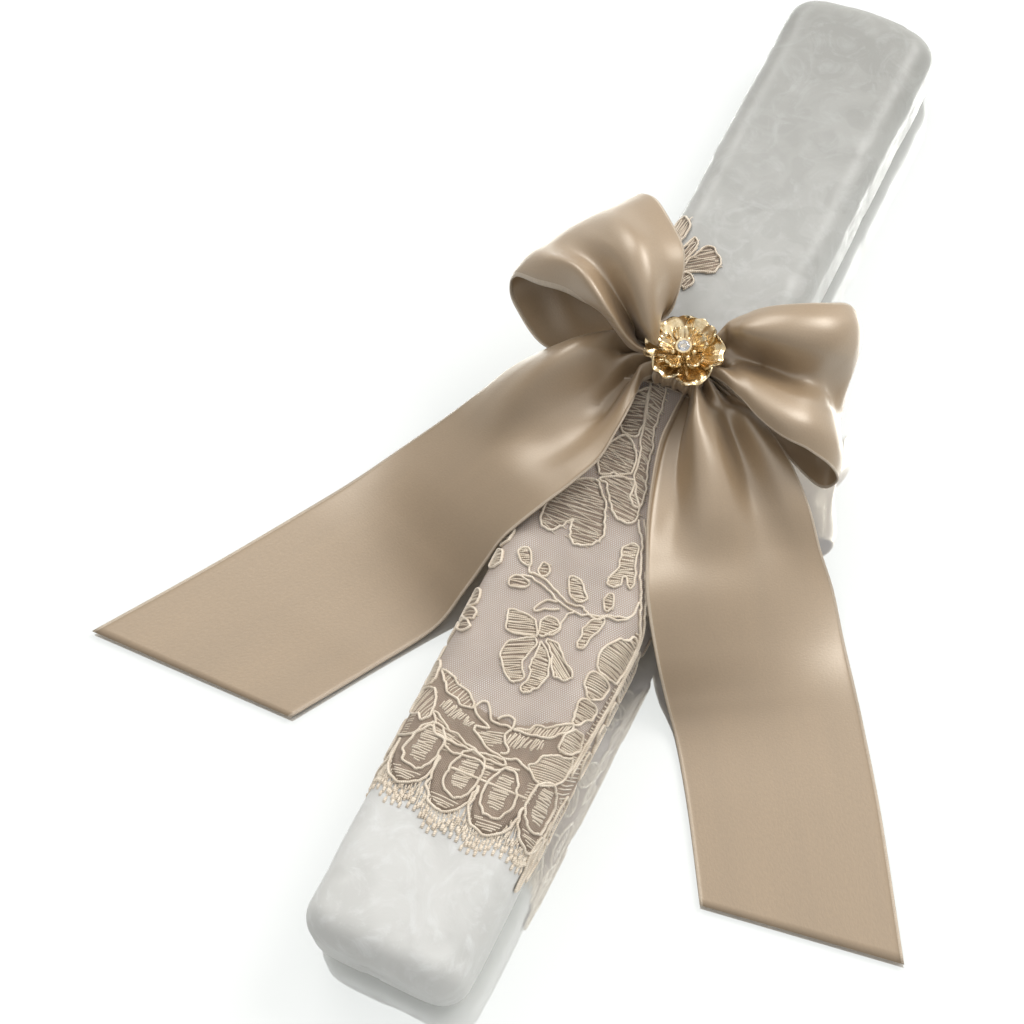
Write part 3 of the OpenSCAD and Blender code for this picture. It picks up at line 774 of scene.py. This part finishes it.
# Leaves that hang below the hem on the narrow sides, y from the lowest line of the net
SIDE_TAIL = [
    ([(25.4, 6), (27.2, 9), (29.6, 8.5), (31, 4), (31.4, -1), (30.2, -5.5), (28.4, -6), (27.6, -2),
      (26.2, 1.5)], 74),
    ([(31.5, 8), (33.4, 10.5), (36, 9), (36.6, 5), (35, 1), (32.8, -1.5), (31.8, 2)], 100)]
VINE = [
    (9, 137), (12.5, 132), (14.5, 128), (16.5, 122.5), (19, 117.5), (20.8, 113.5), (24.5, 108.8),
    (27, 103), (27.6, 96), (27.2, 88), (26, 80), (24.8, 72), (24.2, 66)]
VINE_LEAF = [
    (10.5, 129.8), (12.6, 129.4), (13.6, 125.8), (15, 122.8), (16.2, 119), (15.2, 117.6), (14, 120),
    (12.8, 120), (13, 117.8), (11.6, 116.4), (9.8, 116.8), (9.2, 118.6), (10.4, 121.6), (9.6, 125),
    (8.8, 128)]
# Motifs under the knot and tails, in the darker shaded style, which partly paints the bow's shadow on them
FAN_MOTIFS = [
    ([(-6.3, 143), (-3.4, 140.5), (-0.6, 136.6), (1.2, 132.4), (2.6, 128.6), (1, 125.4), (-2.6, 123.4),
      (-5.4, 124.8), (-6.2, 127.6), (-7, 130.2), (-8.2, 127.6), (-10.4, 124.8), (-14, 125.2), (-15.3, 129),
      (-15, 134), (-12, 140)], 4, "shaded"),
    ([(-5.8, 143.6), (-3, 142.6), (-0.8, 139.4), (1.4, 136.4), (5, 134.8), (8, 135.4), (8.4, 138.6),
      (6, 142.4), (3, 146.8), (-1, 146.6)], -6, "shaded"),
    ([(-6, 157.4), (-2.5, 157.4), (0, 154.6), (1.4, 150.4), (0.6, 147.6), (-2.6, 146.6), (-6, 145.2),
      (-9, 150)], 0, "shaded"),
    ([(-5.4, 176), (-1.2, 177), (1.4, 165), (4.6, 153), (8, 142), (5, 141), (1.6, 152), (-1.6, 163)],
      -14, "shaded"),
    ([(-8.6, 168), (-6, 174), (-3, 168), (-1.8, 160), (-4, 158.6), (-7, 160)], 12, "shaded")]
TOP_MOTIFS = [
    ([(-21.5, 220.5), (-21.8, 225), (-20, 228), (-17.5, 227.3), (-16.5, 224), (-17, 220.5),
      (-18.5, 217.5)], 80, "shaded"),
    ([(-15.2, 216.5), (-14.8, 220.5), (-13.5, 222.3), (-12.3, 220.5), (-12.6, 217.3), (-13.8, 214.5)],
      70, "shaded"),
    ([(-12.8, 214), (-11.5, 217.5), (-10, 220.5), (-7.5, 221.3), (-5, 219), (-3.8, 216.2), (-5.5, 213.6),
      (-8.5, 212.8), (-11, 211.4), (-13.4, 210.2)], 35, "shaded"),
    ([(-12.6, 207), (-12.4, 209.6), (-10.6, 211.2), (-8.6, 210), (-8.4, 208), (-10, 206.4)], 60, "shaded")]
TOP_CORDS = [
    [(-18.5, 217.5), (-16.4, 212), (-15, 206), (-13.6, 198), (-13, 190)],
    [(-13.4, 210.2), (-13, 205), (-12.2, 198), (-11.6, 190)],
    [(-15.2, 216.5), (-15.2, 212), (-14.2, 207)]]


def build_net():
    """The tulle ground, from the scalloped hem to its top edge."""
    around, rows = 220, 90
    u = np.linspace(-HALF_ROUND, HALF_ROUND, around, endpoint=False)
    t = np.linspace(0, 1, rows)[:, None]
    y = scallop_edge(u)[None] * (1 - t) + NET_HI[1] * t
    points = wrap(u, y, NET_LIFT + 0.05 * np.sin(u * 0.7) * np.sin(y * 0.31))
    b = Build()
    b.add(points, [grid_faces(rows, around, round_cols=True, flip=True)], pack(u, y))
    return b.make("lace_tulle", [tulle_material()], "tulle", "lace_net")


def build_hem(looks):
    b = Stitching()
    u = np.arange(-HALF_ROUND, HALF_ROUND, 0.45)[:, None]
    rise = ease((np.abs(((u + HALF_ROUND / 2) % HALF_ROUND) - HALF_ROUND / 2) - 4) / 14)
    top = 71 + 6 * rise + random.uniform(-0.3, 0.3, len(u))[:, None]
    t = np.linspace(0, 1, 10)[None]
    y = scallop_edge(u) * (1 - t) + top * t
    b.strands(pack(u, y), 0.5, 0.12, GROUND_LIFT, GROUND, ring=STITCH_RING)
    # Outlines in one scallop, from its lowest point
    side = [(-6.2, 8.2), (-5.9, 4.8), (-3.6, 1.5), (0, 0), (3.6, 1.5), (5.9, 4.8), (6.2, 8.2)]
    oval = [(-1.6, 18), (-3.3, 15.8), (-4.2, 12), (-4.1, 8.5), (-2.6, 5.8), (0, 4.9), (2.6, 5.8), (4.1, 8.5),
            (4.3, 12), (3.4, 15.6), (1.6, 18)]
    heart = [(-1.9, 16), (-2.3, 12), (-1.9, 8), (0.9, 7.4), (2, 9), (2, 13), (1.4, 16.6)]
    under = [(-4, 4), (-2.2, 1.7), (0, 1), (2.2, 1.7), (4, 4), (2.4, 4.2), (0, 3.6), (-2.4, 4.2)]
    between = np.array([(-1.3, 18), (1.2, 18), (1, 12.5), (-1, 12.5)]) + [PITCH / 2, 0]
    wave = []
    for k in range(2 * SCALLOPS):
        mid = -2.2 + (k - SCALLOPS) * PITCH
        at = [mid, float(hem_y(mid))]
        lean = math.radians(9 * math.sin((mid - 8) * 2 * math.pi / HALF_ROUND))
        turn = np.array([[math.cos(lean), math.sin(lean)], [-math.sin(lean), math.cos(lean)]])
        wave += [*(np.array(side) + at), np.array([PITCH / 2, 10.6 + 0.4 * math.sin(k)]) + at]
        b.cord(np.array(oval) @ turn + at, closed=True)
        b.stitches(spline(np.array(heart) @ turn + at, 40, True), 6, 0.62, 0.55, 0.34, 0.35)
        b.stitches(np.array(under) + at, 8 - 4 * (k % 3), 0.7, 0.5, 0.32, 0.4, LOOSE_LIFT)
        b.stitches(between + at, 10, 0.8, 0.42, 0.26, 0.3, LOOSE_LIFT)
    b.cord(wave, width=0.85, height=0.6, closed=True)
    for shift in REPEATS:
        for points in HEM_CORDS:
            b.cord(points, shift=shift)
        for row in HEM_MOTIFS:
            b.motif(*row, shift=shift)
        for outline, angle in HEM_TUFTS:
            b.stitches(np.array(outline) + [shift, 0], angle, 0.6, 0.5, 0.36, 0.5)
        corner = np.array([(22.6, 60), (34.6, 60), (34.6, 78), (25.6, 78)])
        b.stitches(corner + [shift, 0], 20, 1.2, 0.5, 0.3, 0.5, LOOSE_LIFT)
    return b.make("lace_hem_embroidery", looks, "lace_cord", "lace_scallop_border")


def build_fringe(looks):
    """Eyelash threads below the hem, each with knots along it and two threads that tie them together."""
    b = Stitching()
    gap = 0.66
    count = int(math.ceil(2 * HALF_ROUND / gap))
    u = np.arange(-HALF_ROUND, HALF_ROUND, gap) + random.uniform(-0.14, 0.14, count)
    top = scallop_edge(u) + 0.5
    drop = np.where(np.arange(count) % 3 == 0, 4.4, 2.6)
    low = np.minimum(top - 1.5, hem_y(u) + 1.2) - drop - random.uniform(0, 0.7, count)
    low = np.maximum(low, NET_LO[1] - 4.6)

    def sway(share):
        return u[:, None] + 0.22 * np.sin(share * 7 + u[:, None] * 3)

    t = np.linspace(0, 1, 9)[None]
    y = top[:, None] * (1 - t) + low[:, None] * t
    b.strands(pack(sway(t), y), 0.4, 0.32, 0.12, ring=STITCH_RING)
    s = np.linspace(-0.5, 0.5, 5)[None]
    fat = np.sqrt(np.clip(1 - (2 * s) ** 2, 0.05, 1))
    for share, size in ((1.0, 0.85), (0.62, 0.7), (0.12, 0.6)):
        at = (top * (1 - share) + low * share)[:, None]
        b.strands(pack(sway(share), at + s * 1.7), size, 0.7 * size * fat, 0.1)
    for level in (1.6, 2.9):
        y = np.maximum(np.minimum(top, hem_y(u) + 2.5) - level, low + 0.3) + 0.35 * np.sin(u * 5)
        b.strands(pack(u, y)[None], 0.28, 0.2, 0.15, ring=STITCH_RING)
    return b.make("lace_eyelash_fringe", looks, "lace_cord", "lace_hem_fringe")


def build_motifs(looks):
    spray, side, fan, top = Stitching(), Stitching(), Stitching(), Stitching()
    vine = np.array(VINE, float)
    strip = np.concatenate([vine[:6] + [2, 0.5], (vine[:6] + [4.2, 2.2])[::-1]])
    trunk = np.concatenate([vine[6:] + [-2.2, 0], (vine[6:] + [3.4, 0])[::-1]])
    # The middle of the vine, about which the leaves of the right side are mirrored
    vine_u = 27.6
    for shift in REPEATS:
        for points in SPRIG_CORDS:
            spray.cord(points, shift=shift, width=0.7)
        for row in SPRIG_MOTIFS:
            spray.motif(*row, shift=shift, cord=0.68)
        for outline, angle in SIDE_MOTIFS:
            side.motif(outline, angle, shift=shift)
            side.motif([(2 * vine_u - x, y) for x, y in outline[::-1]], -angle, shift=shift)
        for outline, angle in SIDE_TAIL:
            side.motif(np.array(outline) + [0, NET_LO[1]], angle, "shaded", shift)
        for row in LEFT_MOTIFS:
            side.motif(*row, shift=shift)
        for offset in (0.0, 1.5):
            side.cord(vine + [offset, 0.3 * offset], shift=shift)
        side.stitches(strip + [shift, 0], -58, 0.6, 0.45, 0.28, 0.3, LOOSE_LIFT)
        side.motif(VINE_LEAF, 10, shift=shift, cord=0.68)
        side.stitches(trunk + [shift, 0], 8, 0.46, 0.46, 0.16, 0.2, GROUND_LIFT, GROUND)
        side.stitches(trunk + [shift, 0], 14, 1.1, 0.46, 0.28, 0.6)
        for row in FAN_MOTIFS:
            fan.motif(*row, shift=shift)
    for points in TOP_CORDS:
        top.cord(points, width=0.65)
    for row in TOP_MOTIFS:
        top.motif(*row, cord=0.65)
    return [spray.make("lace_blossom_embroidery", looks, "lace_cord", "lace_blossom_spray"),
            side.make("lace_side_embroidery", looks, "lace_cord", "lace_side_border"),
            fan.make("lace_fan_embroidery", looks, "lace_cord", "lace_fan_leaves"),
            top.make("lace_top_embroidery", looks, "lace_cord", "lace_top_leaf")]


def build_lace():
    looks = [thread_material("ivory_thread", (0.82, 0.73, 0.60), (0.64, 0.54, 0.42), 0.35),
             thread_material("taupe_thread", (0.40, 0.31, 0.235), (0.30, 0.228, 0.17), 0.2)]
    net = build_net()
    pieces = [build_hem(looks), build_fringe(looks), *build_motifs(looks)]


# Band, knot and wick


def build_band():
    """The turn of ribbon round the candle, in pleats that the knot draws together at the front."""
    k = ribbon_columns(60)[None]
    u = np.linspace(-HALF_ROUND, HALF_ROUND, 260)[:, None]
    knot_half = 6.0
    half = knot_half + ((BAND_HI[1] - BAND_LO[1]) / 2 - knot_half) * ease((np.abs(u) - 3) / 24)
    y = KNOT[1] + half * (2 * k - 1) + 0.5 * np.sin(u * 0.11) * np.sin(np.pi * k)
    under = ease((np.abs(u) - FLAT_W - ARC - 2) / 10)
    pleat = 0.5 + 0.5 * np.cos(2 * np.pi * (5.5 * k + 0.35 * np.sin(u * 0.09)) + 0.6 * np.sin(9 * k))
    grid = wrap(u, y, NET_T + 0.30 + pleat * (1.25 - 1.1 * under))
    b = Build()
    shell(b, grid, 0.3 + selvedge(k, 0.2), RIBBON_W * k, u)
    obj = b.make("ribbon_band_satin", [SATIN_LOOK], "satin", "ribbon_band")


def knot_ring(a, grow):
    """Place (y, z) on the knot's rounded block at angle a, grown outwards."""
    half_y = (KNOT_HI[1] - KNOT_LO[1]) / 2 + grow
    half_z = (KNOT_HI[2] - KNOT_LO[2]) / 2 + grow
    power = 2.6
    c, s = np.cos(a), np.sin(a)
    size = (np.abs(c) ** power + np.abs(s) ** power) ** (-1 / power)
    return KNOT[1] + half_y * c * size, KNOT[2] + half_z * s * size


def build_knot():
    rows, cols, lap_rows = 120, 56, 8
    a = np.linspace(-math.pi / 2 - 0.25, 1.5 * math.pi + 0.25, rows)[:, None]
    k = np.linspace(0, 1, cols)[None]
    x = KNOT[0] + (k - 0.5) * (KNOT_HI[0] - KNOT_LO[0]) * (1 + 0.06 * np.sin(3 * a))
    pleat = 0.42 * np.cos(2 * np.pi * 4 * k + 0.5 * np.sin(2 * a)) + 0.25 * np.cos(2 * np.pi * 7 * k + a)
    flare = 0.5 * (2 * np.abs(k - 0.5)) ** 3
    overlap = 0.35 * (np.arange(rows)[:, None] > rows - lap_rows)
    y, z = knot_ring(a, -0.75 + pleat * 0.7 + flare + overlap)
    b = Build()
    shell(b, pack(x, y, z), 0.3, 30 * k, 40 * a / (2 * np.pi))
    wrapper = b.make("bow_knot_satin", [SATIN_LOOK], "satin", "bow_knot_wrap")


def build_gather():
    """The gathered layers inside the knot."""
    half_length, rows = 6.9, 40
    turn = np.linspace(0, 2 * math.pi, 120, endpoint=False)[None]
    along = np.linspace(-1, 1, rows)[:, None]
    fold = 0.7 * np.cos(11 * turn + 1.4 * along) + 0.35 * np.cos(19 * turn - along)
    y, z = knot_ring(turn, -1.75 + fold * (0.5 + 0.3 * np.abs(along)) - 0.5 * np.abs(along) ** 4)
    core = pack(KNOT[0] + along * half_length, y, z)
    b = Build()
    closed_tube(b, core, np.linspace(0, 2 * half_length, rows))
    b.make("bow_gather_satin", [SATIN_LOOK], "satin", "bow_gather")


def build_wick():
    """Three twisted cotton strands; only the upper end is built, as the wax hides the rest."""
    tip = node_box("wick")[1][1]
    start = CANDLE_L - 24
    strand_r, off_centre, lay = 0.56, 0.5, 4.6
    t = np.linspace(0, 1, 160)[:, None]
    y = start + (tip - start) * t
    r = strand_r * (1 - 0.25 * ease((t - 0.95) / 0.05))
    ring = np.linspace(0, 2 * math.pi, 10, endpoint=False)[None]
    b = Build()
    for k in range(3):
        a = 2 * math.pi * (k / 3 + (y - start) / lay)
        x, z = (off_centre * wave(a) + r * wave(ring) for wave in (np.cos, np.sin))
        closed_tube(b, pack(x, y, z), y[:, 0])
    b.make("braided_wick", [wick_material()], "wick", "wick")


# Flower


def petal(b, length, width, rise, cup, turn, root, z, seed):
    """One cast petal, cupped and ruffled, from root outwards along the direction turn."""
    rows, cols = 30, 33
    t = np.linspace(0, 1, rows)[:, None]
    u = np.linspace(-1, 1, cols)[None]
    half = width * (0.28 + 0.72 * ease(t / 0.7)) * (1 - 0.10 * t**6)
    outline = 1 - 0.30 * np.abs(u) ** 4 * t**2 - 0.03 * np.cos(2.2 * np.pi * u + seed) * t**4
    x = root + length * t * outline
    y = half * u
    bowl = rise * t**1.6 + cup * np.abs(u) ** 3 * (0.3 + 0.7 * t) - 0.5 * ease((t - 0.9) / 0.1)
    groove = 0.12 * np.cos(4 * np.pi * u + seed) * np.sin(np.pi * t) - 0.30 * np.exp(-((u / 0.22) ** 2)) * t
    h = z + bowl + groove + 0.22 * t**3 * np.cos(2.6 * np.pi * u + 2 * seed)
    c, s = math.cos(turn), math.sin(turn)
    grid = pack(KNOT[0] + c * x - s * y, KNOT[1] + s * x + c * y, h)
    rim = np.maximum(bump_at(np.abs(u), 1, 0.09) * np.ones_like(t), bump_at(t, 1, 0.05) * np.ones_like(u))
    shell(b, grid, 0.40 + 0.38 * rim, u, t)


def build_flower():
    gilt = gilt_material()
    reach = (FLOWER_HI[0] - FLOWER_LO[0]) / 2
    b = Build()
    for k in range(6):
        size = 1 + 0.06 * math.sin(2.7 * k + 1)
        rise = 3.0 + 0.6 * math.sin(2.1 * k)
        turn = 2 * math.pi * (k + 0.25) / 6
        petal(b, (reach - 1.4) * size - 0.3, 4.9 * size, rise, 1.7, turn, 1.4, FLOWER_LO[2] + 0.25, 1.7 * k)
    b.make("flower_outer_ruffle", [gilt], "gilt", "flower_outer_petals")
    inner_foot = node_box("flower_inner_petals")[0][2] + 0.6
    b = Build()
    for k in range(5):
        rise = 2.7 + 0.3 * math.cos(2 * k)
        turn = 2 * math.pi * (k + 0.6) / 5
        petal(b, reach * 0.46, 2.7, rise, 1.1, turn, 1.6, inner_foot, 2.3 * k + 1)
    b.make("flower_inner_ruffle", [gilt], "gilt", "flower_inner_petals")
    for name in ("flower_shank", "flower_bead_ring", "stone_cup"):
        paint(name, gilt)
    paint("bow_binding_wire", wire_material())


def build_stone():
    """A round brilliant: share of the radius, height and half-step turn of each ring of corners."""
    lo, hi = node_box("clear_stone")
    radius = (hi[0] - lo[0]) / 2
    sides = 12
    rings = []
    for share, z, step in ((0.01, lo[2] + 0.05, 0), (0.55, lo[2] + 0.5, 0), (0.99, hi[2] - 0.75, 0.5),
                           (0.99, hi[2] - 0.65, 0.5), (0.80, hi[2] - 0.2, 0), (0.54, hi[2], 0.5)):
        a = 2 * math.pi * (np.arange(sides) + step) / sides
        r = radius * share
        rings.append(pack(KNOT[0] + r * np.cos(a), KNOT[1] + r * np.sin(a), z))
    b = Build()
    closed_tube(b, np.array(rings), np.arange(len(rings)))
    b.make("faceted_stone", [crystal_material()], "crystal", "clear_stone", smooth=False)


def paint(node, look):
    """Gives a CAD node that stays a better material."""
    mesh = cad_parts[node].data
    mesh.materials.clear()
    mesh.materials.append(look)


# Stage


def build_stage():
    """A floor like the photograph's glass top: white with a clear mirror image."""
    floor = bpy.data.meshes.new("floor")
    half = 3.0
    corners = [(x * half, y * half, TABLE_Z * MM) for x, y in ((-1, -1), (1, -1), (1, 1), (-1, 1))]
    floor.from_pydata(corners, [], [(0, 1, 2, 3)])
    look = bpy.data.materials.new("glass_top")
    look.use_nodes = True
    tree = look.node_tree
    tree.nodes.clear()
    out, mix, white, gloss = (tree.nodes.new("ShaderNode" + kind)
                              for kind in ("OutputMaterial", "MixShader", "BsdfDiffuse", "BsdfGlossy"))
    white.inputs["Color"].default_value = (0.96, 0.955, 0.95, 1)
    gloss.inputs["Color"].default_value = (0.93, 0.96, 0.94, 1)
    gloss.inputs["Roughness"].default_value = 0.0
    mix.inputs["Fac"].default_value = 0.66
    tree.links.new(white.outputs[0], mix.inputs[1])
    tree.links.new(gloss.outputs[0], mix.inputs[2])
    tree.links.new(mix.outputs[0], out.inputs[0])
    floor.materials.append(look)
    add_object("floor", floor)


def window(name, at, power):
    """A soft window light, in metres and watts, that faces the middle of the candle."""
    data = bpy.data.lights.new(name, "AREA")
    data.shape = "RECTANGLE"
    data.size, data.size_y = 0.6, 0.5
    data.energy = power
    data.color = (1.0, 0.985, 0.96)
    add_looking(name, data, at, (0.0, 0.16, 0.0))


def build_light():
    """A white room that is brightest overhead, and two windows towards the wick end."""
    world = bpy.data.worlds.new("studio")
    scene.world = world
    world.use_nodes = True
    tree = world.node_tree
    back = tree.nodes["Background"]
    coords, dot, ramp = (tree.nodes.new("ShaderNode" + kind)
                         for kind in ("TexCoord", "VectorMath", "MapRange"))
    dot.operation = "DOT_PRODUCT"
    dot.inputs[1].default_value = Vector((0.25, 0.20, 0.9)).normalized()
    tree.links.new(coords.outputs["Generated"], dot.inputs[0])
    ramp.interpolation_type = "SMOOTHSTEP"
    for key, value in (("From Min", -0.1), ("From Max", 1.0), ("To Min", 0.36), ("To Max", 1.04)):
        ramp.inputs[key].default_value = value
    tree.links.new(dot.outputs["Value"], ramp.inputs["Value"])
    tree.links.new(ramp.outputs[0], back.inputs["Strength"])
    back.inputs["Color"].default_value = (1.0, 1.0, 1.0, 1)
    window("window_left", (-0.68, 0.74, 0.66), 5.0)
    window("window_right", (0.42, 0.95, 0.80), 8.5)
    scene.view_settings.view_transform = "Standard"


def build_camera():
    """The photograph's view, fitted to the slab's edges in it."""
    azimuth, elevation, roll = (math.radians(a) for a in (35.7, 64.37, -10.1))
    distance = 0.7034
    aim = Vector((-22.8, 125.2, HALF_T)) * MM
    level = math.cos(elevation)
    back = Vector((math.sin(azimuth) * level, -math.cos(azimuth) * level, math.sin(elevation)))
    data = bpy.data.cameras.new("camera")
    data.sensor_width = 36
    data.lens = 92.2
    data.clip_start = 0.05
    camera = add_looking("camera", data, aim + back * distance, aim, roll)
    bpy.context.scene.camera = camera


build_camera()
build_stage()
build_light()
build_wax()
build_lace()
build_band()
build_tails()
build_loops()
build_knot()
build_gather()
build_wick()
build_flower()
build_stone()
